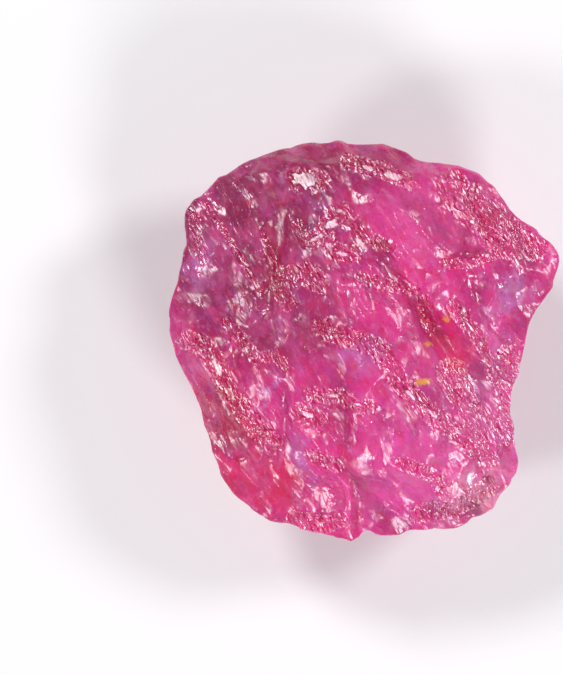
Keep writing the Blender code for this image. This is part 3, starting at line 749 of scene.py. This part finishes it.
def veil_share(tree, place, seed, size, stretch, fade, strength):
    """Cloudy growths inside the stone, drawn out along the streak."""
    local = add_node(
        tree, "ShaderNodeMapping",
        {
            "Vector": place,
            "Location": (seed * 17.0 * MM, 0.0, 0.0),
            "Rotation": (0.0, 0.0, math.atan2(STREAK[1], STREAK[0])),
            "Scale": (stretch * size * MM, size * MM, size * MM),
        },
        vector_type="TEXTURE",
    )
    cloud = add_node(
        tree, "ShaderNodeTexNoise",
        {"Vector": local.outputs[0], "Scale": 1.0, "Detail": 7.0, "Roughness": 0.62, "Distortion": 0.3},
    )
    return add_node(
        tree, "ShaderNodeMapRange",
        {"Value": cloud.outputs["Fac"], "From Min": fade[0], "From Max": fade[1],
         "To Min": 0.0, "To Max": strength},
    ).outputs[0]


def ruby_material(colour):
    """Rough corundum as it broke: glassy on every small face, with cloudy veils under the surface.

    The eye sees a glowing pink body with darker, redder seams, and sharp white sparks on the edges.
    """
    material = bpy.data.materials.new("corundum_natural_fracture")
    material.use_nodes = True
    tree = material.node_tree
    shader = tree.nodes["Principled BSDF"]
    output = tree.nodes["Material Output"]
    place = add_node(tree, "ShaderNodeTexCoord").outputs["Object"]

    surface = {
        name: add_node(tree, "ShaderNodeAttribute", attribute_name=name).outputs["Fac"]
        for name in ("crinkled", "proud", "steep")
    }
    layers = []
    size, reach = ZONE_PUSH
    wavy = pushed_place(tree, place, size * MM, reach * MM)
    for code, middle, half_size, turn, strength in COLOUR_ZONES.values():
        layers.append((code, zone_share(tree, wavy, middle, half_size, turn, strength)))
    for seed, (code, size, stretch, fade, strength) in enumerate(VEILS.values()):
        layers.append((code, veil_share(tree, place, seed, size, stretch, fade, strength)))
    for code, name, low, high, strength in SURFACE_TINTS:
        share = add_node(
            tree, "ShaderNodeMapRange",
            {"Value": surface[name], "From Min": low, "From Max": high, "To Min": 0.0, "To Max": strength},
        )
        layers.append((code, share.outputs[0]))
    # Spots of painted iridescent sheen in thin cracks.
    size, reach = IRIDESCENT_PUSH
    torn = pushed_place(tree, place, size * MM, reach * MM)
    for middle, half_size in IRIDESCENT_SPOTS.values():
        layers.append(("iridescent_sheen", zone_share(tree, torn, middle, half_size, *IRIDESCENT_SPOT)))
    tone = linear(colour.body)
    for code, share in layers:
        tone = add_node(
            tree, "ShaderNodeMix", {0: share, 6: tone, 7: linear(getattr(colour, code))}, data_type="RGBA",
        ).outputs[2]

    frost = add_node(
        tree, "ShaderNodeTexNoise", {"Vector": place, "Scale": 1.0 / (FROST_SIZE * MM), "Detail": 3.0},
    )
    satin = add_node(
        tree, "ShaderNodeMapRange",
        {"Value": frost.outputs["Fac"], "From Min": 0.35, "From Max": 0.7,
         "To Min": SATIN[0], "To Max": SATIN[1]},
    )
    gloss = add_node(
        tree, "ShaderNodeMapRange",
        {"Value": surface["crinkled"], "To Min": satin.outputs[0], "To Max": GLASSY},
    )
    streaked = add_node(
        tree, "ShaderNodeMapping",
        {"Vector": place, "Rotation": (0.0, 0.0, math.atan2(STREAK[1], STREAK[0])),
         "Scale": tuple(size * MM for size in HACKLE_SIZE)},
        vector_type="TEXTURE",
    )
    hackles = add_node(
        tree, "ShaderNodeTexNoise",
        {"Vector": streaked.outputs[0], "Scale": 1.0, "Detail": 1.0, "Roughness": 0.5, "Distortion": 0.4},
    )
    hackle_depth = add_node(
        tree, "ShaderNodeMapRange",
        {"Value": surface["crinkled"], "To Min": HACKLE_STRENGTH[0], "To Max": HACKLE_STRENGTH[1]},
    )
    bump = add_node(
        tree, "ShaderNodeBump",
        {"Height": hackles.outputs["Fac"], "Strength": hackle_depth.outputs[0],
         "Distance": HACKLE_HEIGHT * MM},
    )
    tree.links.new(tone, shader.inputs["Base Color"])
    tree.links.new(gloss.outputs[0], shader.inputs["Roughness"])
    tree.links.new(bump.outputs["Normal"], shader.inputs["Normal"])
    shader.inputs["IOR"].default_value = colour.ior
    shader.inputs["Transmission Weight"].default_value = colour.clearness
    shader.inputs["Subsurface Weight"].default_value = 1.0
    shader.inputs["Subsurface Radius"].default_value = SCATTER_SHARES
    shader.inputs["Subsurface Scale"].default_value = SCATTER_DEPTH * MM
    depth = add_node(
        tree, "ShaderNodeVolumeAbsorption",
        {"Color": linear(colour.depth), "Density": colour.absorption},
    )
    tree.links.new(depth.outputs[0], output.inputs["Volume"])
    return material


class RUBY_OT_stone(bpy.types.Operator):
    """Build the stone's broken surface and its cloudy red-pink finish"""

    bl_idname = "ruby.build_stone"
    bl_label = "Build stone"

    def execute(self, context):
        stone = carve_stone(settings().shape)
        stone.data.materials.clear()
        stone.data.materials.append(ruby_material(settings().colour))
        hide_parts(NODE)
        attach(stone, "root")
        return {"FINISHED"}


# The studio.

FLOOR_HALF_SIDE = 0.6
FLOOR_DROP = 0.03 * MM       # the floor lies this far under the stone, so that the two never share a face
LAMP_DISTANCE = 0.30
GIRDLE_HEIGHT = 5.2 * MM     # of the stone's widest line over its parting face
CAMERA_PLACE = (-3.06 * MM, 0.13 * MM)     # in plan: the stone stands right of the middle of the view


def plain_material(name, code, roughness):
    material = bpy.data.materials.new(name)
    material.use_nodes = True
    shader = material.node_tree.nodes["Principled BSDF"]
    shader.inputs["Base Color"].default_value = linear(code)
    shader.inputs["Roughness"].default_value = roughness
    return material


def add_floor(studio):
    half = FLOOR_HALF_SIDE
    corners = [(-half, -half), (half, -half), (half, half), (-half, half)]
    mesh = bpy.data.meshes.new("floor")
    mesh.from_pydata([(x, y, -FLOOR_DROP) for x, y in corners], [], [(0, 1, 2, 3)])
    floor = new_object("floor", mesh)
    mesh.materials.append(plain_material("matt_white_card", studio.floor, 0.8))


def add_lamp(name, way, width, brightness):
    lamp = bpy.data.lights.new(name, "AREA")
    lamp.shape = "DISK"
    lamp.size = width
    lamp.energy = brightness * math.pi * math.pi * (width / 2.0) ** 2
    made = new_object(name, lamp)
    made.location = Vector(way).normalized() * LAMP_DISTANCE
    made.rotation_euler = made.location.to_track_quat("Z", "Y").to_euler()


def add_surround(strength):
    world = bpy.data.worlds.new("white_surround")
    bpy.context.scene.world = world
    world.use_nodes = True
    background = world.node_tree.nodes["Background"]
    background.inputs["Color"].default_value = (1.0, 1.0, 1.0, 1.0)
    background.inputs["Strength"].default_value = strength


def add_camera(studio):
    """Looks straight down on the stone."""
    lens = bpy.data.cameras.new("camera")
    lens.lens = studio.lens * 1000.0
    lens.clip_start = 0.01
    camera = new_object("camera", lens)
    camera.location = (*CAMERA_PLACE, GIRDLE_HEIGHT + studio.camera_height)
    bpy.context.scene.camera = camera


class RUBY_OT_studio(bpy.types.Operator):
    """Set up the pale floor, the soft lights and the camera"""

    bl_idname = "ruby.build_studio"
    bl_label = "Build studio"

    def execute(self, context):
        studio = settings().studio
        add_floor(studio)
        add_surround(studio.surround)
        for name, (way, width, brightness) in LAMPS.items():
            add_lamp(name, way, width, brightness * studio.lamps)
        add_camera(studio)
        context.scene.view_settings.view_transform = "Standard"
        return {"FINISHED"}


class RUBY_PT_sidebar(bpy.types.Panel):
    """Raw ruby crystal"""

    bl_label = "Raw ruby crystal"
    bl_idname = "RUBY_PT_sidebar"
    bl_space_type = "VIEW_3D"
    bl_region_type = "UI"
    bl_category = "Ruby"

    def draw(self, context):
        ruby = settings()
        for title, group, operator in (
            ("Surface", ruby.shape, RUBY_OT_stone),
            ("Substance", ruby.colour, None),
            ("Studio", ruby.studio, RUBY_OT_studio),
        ):
            box = self.layout.box()
            box.label(text=title)
            for name in group.__annotations__:
                box.prop(group, name)
            if operator:
                box.operator(operator.bl_idname)


class RawRuby(bpy.types.PropertyGroup):
    """Everything that can be set."""

    shape: PointerProperty(type=RubyShape)
    colour: PointerProperty(type=RubyColour)
    studio: PointerProperty(type=RubyStudio)


CLASSES = (RubyShape, RubyColour, RubyStudio, RawRuby, RUBY_OT_stone, RUBY_OT_studio, RUBY_PT_sidebar)


def register():
    for kind in CLASSES:
        bpy.utils.register_class(kind)
    bpy.types.Scene.raw_ruby = PointerProperty(type=RawRuby)


def unregister():
    del bpy.types.Scene.raw_ruby
    for kind in reversed(CLASSES):
        bpy.utils.unregister_class(kind)


def main():
    register()
    bpy.ops.ruby.build_stone()
    bpy.ops.ruby.build_studio()


if __name__ == "__main__":
    main()
